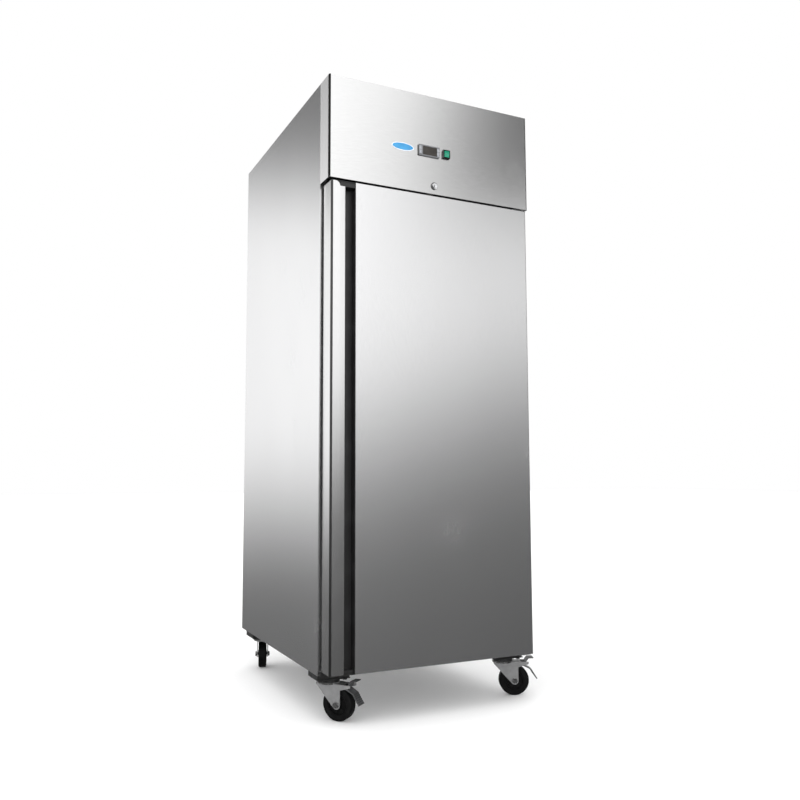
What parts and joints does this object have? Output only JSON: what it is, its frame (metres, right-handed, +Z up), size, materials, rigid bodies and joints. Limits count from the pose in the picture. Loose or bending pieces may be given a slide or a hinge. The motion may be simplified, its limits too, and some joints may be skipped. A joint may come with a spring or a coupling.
{
  "type": "reach in refrigerator",
  "caption": "Upright single-door reach-in refrigerator in brushed stainless steel on swivel casters, with a full-height pull grip and a control fascia above the door.",
  "frame": {"origin": "on the floor, below the middle of the cabinet's width and of the depth from the door front to the cabinet back", "axes": "+X to the right seen from the front, +Y from the door to the back, +Z up"},
  "size_m": [0.7971, 0.9178, 1.985],
  "materials": {
    "stainless": "satin",
    "galvanised": "satin",
    "zinc": "satin",
    "grip_aluminium": "satin",
    "black_plastic": "matte",
    "frame_plastic": "satin",
    "foam": "matte",
    "gasket_rubber": "matte",
    "wheel_rubber": "matte",
    "pedal_grey": "satin",
    "bezel_grey": "satin",
    "key_grey": "satin",
    "screen_dark": "gloss",
    "switch_green": "gloss",
    "badge_blue": "gloss",
    "lock_chrome": "polished",
    "copper": "satin",
    "coil_fins": "satin",
    "black_steel": "satin",
    "white_plastic": "satin",
    "lamp_cover": "gloss",
    "nylon": "satin",
    "chrome_wire": "polished"
  },
  "bodies": {
    "cabinet": {"back_panel": "galvanised", "base_pads": "galvanised", "base_panel": "galvanised", "cable_gland": "black_plastic", "caster_bolts": "zinc", "caster_plates": "zinc", "compressor": "black_steel", "condenser_coil": "coil_fins", "condenser_shroud": "galvanised", "control_box": "galvanised", "drain_tray": "white_plastic", "evaporator_coil": "coil_fins", "evaporator_cover": "white_plastic", "fan_motors": "black_steel", "fascia_panel": "stainless", "foam_insulation": "foam", "front_frame": "frame_plastic", "hinge_bracket_bottom": "black_steel", "hinge_bracket_top": "black_steel", "hinge_seat_cover": "galvanised", "inner_liner": "stainless", "interior_lamp": "lamp_cover", "lock_barrel": "lock_chrome", "machine_deck": "galvanised", "oval_badge": "badge_blue", "pilasters": "stainless", "refrigerant_pipes": "copper", "shelf_slides": "stainless", "side_panel_left": "stainless", "side_panel_right": "stainless", "switch_housing": "black_plastic", "thermostat_bezel": "bezel_grey", "thermostat_screen": "screen_dark", "top_panel": "stainless", "wire_shelves": "chrome_wire"},
    "door": {"door_skin": "stainless", "door_inner_pan": "stainless", "door_foam": "foam", "grip_profile": "grip_aluminium", "finger_channel": "black_plastic", "grip_caps": "black_plastic", "door_gasket": "gasket_rubber", "hinge_bushes": "nylon"},
    "evaporator_fan": {"evaporator_fan": "black_plastic"},
    "condenser_fan": {"condenser_fan": "black_plastic"},
    "left_key": {"thermostat_key_left": "key_grey"},
    "right_key": {"thermostat_key_right": "key_grey"},
    "rocker": {"switch_rocker": "switch_green"},
    "lock_plug": {"lock_plug": "lock_chrome"},
    "lock_bolt": {"lock_bolt": "galvanised"},
    "fork_front_left": {"caster_fork_front_left": "zinc"},
    "wheel_front_left": {"caster_wheel_front_left": "wheel_rubber"},
    "fork_front_right": {"caster_fork_front_right": "zinc"},
    "wheel_front_right": {"caster_wheel_front_right": "wheel_rubber"},
    "fork_rear_left": {"caster_fork_rear_left": "zinc"},
    "wheel_rear_left": {"caster_wheel_rear_left": "wheel_rubber"},
    "fork_rear_right": {"caster_fork_rear_right": "zinc"},
    "wheel_rear_right": {"caster_wheel_rear_right": "wheel_rubber"},
    "pedal_front_left": {"brake_pedal_front_left": "pedal_grey"},
    "pedal_front_right": {"brake_pedal_front_right": "pedal_grey"}
  },
  "joints": [
    {"name": "door_swing", "type": "hinge", "parent": "cabinet", "child": "door", "pos_m": [0.3475, -0.4105, 0.9], "axis": [0, 0, 1], "range_deg": [0, 110]},
    {"name": "evaporator_fan_spin", "type": "hinge", "parent": "cabinet", "child": "evaporator_fan", "pos_m": [0, 0.0665, 1.541], "axis": [0, 1, 0], "continuous": true},
    {"name": "condenser_fan_spin", "type": "hinge", "parent": "cabinet", "child": "condenser_fan", "pos_m": [-0.1675, -0.2505, 1.791], "axis": [0, 1, 0], "continuous": true},
    {"name": "left_key_press", "type": "slide", "parent": "cabinet", "child": "left_key", "axis": [0, 1, 0], "range_m": [0, 0.0008], "stiffness_N_per_m": 400},
    {"name": "right_key_press", "type": "slide", "parent": "cabinet", "child": "right_key", "axis": [0, 1, 0], "range_m": [0, 0.0008], "stiffness_N_per_m": 400},
    {"name": "rocker_tilt", "type": "hinge", "parent": "cabinet", "child": "rocker", "pos_m": [0.0452, -0.4585, 1.795], "axis": [-1, 0, 0], "range_deg": [0, 14]},
    {"name": "lock_turn", "type": "hinge", "parent": "cabinet", "child": "lock_plug", "pos_m": [0, -0.4525, 1.681], "axis": [0, 1, 0], "range_deg": [0, 90]},
    {"name": "bolt_drop", "type": "slide", "parent": "cabinet", "child": "lock_bolt", "axis": [0, 0, -1], "range_m": [0, 0.012]},
    {"name": "swivel_front_left", "type": "hinge", "parent": "cabinet", "child": "fork_front_left", "pos_m": [-0.317, -0.3395, 0.115], "axis": [0, 0, 1], "continuous": true},
    {"name": "roll_front_left", "type": "hinge", "parent": "fork_front_left", "child": "wheel_front_left", "pos_m": [-0.29469, -0.36775, 0.05], "axis": [-0.7848, -0.6198, 0], "continuous": true},
    {"name": "brake_front_left", "type": "hinge", "parent": "fork_front_left", "child": "pedal_front_left", "pos_m": [-0.28105, -0.38502, 0.101], "axis": [-0.7848, -0.6198, 0], "range_deg": [0, 18]},
    {"name": "swivel_front_right", "type": "hinge", "parent": "cabinet", "child": "fork_front_right", "pos_m": [0.317, -0.3395, 0.115], "axis": [0, 0, 1], "continuous": true},
    {"name": "roll_front_right", "type": "hinge", "parent": "fork_front_right", "child": "wheel_front_right", "pos_m": [0.34963, -0.35471, 0.05], "axis": [-0.4226, -0.9063, 0], "continuous": true},
    {"name": "brake_front_right", "type": "hinge", "parent": "fork_front_right", "child": "pedal_front_right", "pos_m": [0.36957, -0.36401, 0.101], "axis": [-0.4226, -0.9063, 0], "range_deg": [0, 18]},
    {"name": "swivel_rear_left", "type": "hinge", "parent": "cabinet", "child": "fork_rear_left", "pos_m": [-0.317, 0.3475, 0.115], "axis": [0, 0, 1], "continuous": true},
    {"name": "roll_rear_left", "type": "hinge", "parent": "fork_rear_left", "child": "wheel_rear_left", "pos_m": [-0.3069, 0.38205, 0.05], "axis": [0.9598, -0.2807, 0], "continuous": true},
    {"name": "swivel_rear_right", "type": "hinge", "parent": "cabinet", "child": "fork_rear_right", "pos_m": [0.317, 0.3475, 0.115], "axis": [0, 0, 1], "continuous": true},
    {"name": "roll_rear_right", "type": "hinge", "parent": "fork_rear_right", "child": "wheel_rear_right", "pos_m": [0.33608, 0.37803, 0.05], "axis": [0.848, -0.5299, 0], "continuous": true}
  ],
  "couplings": [
    {"joint": "bolt_drop", "follows": "lock_turn", "m_per_rad": 0.0076}
  ]
}
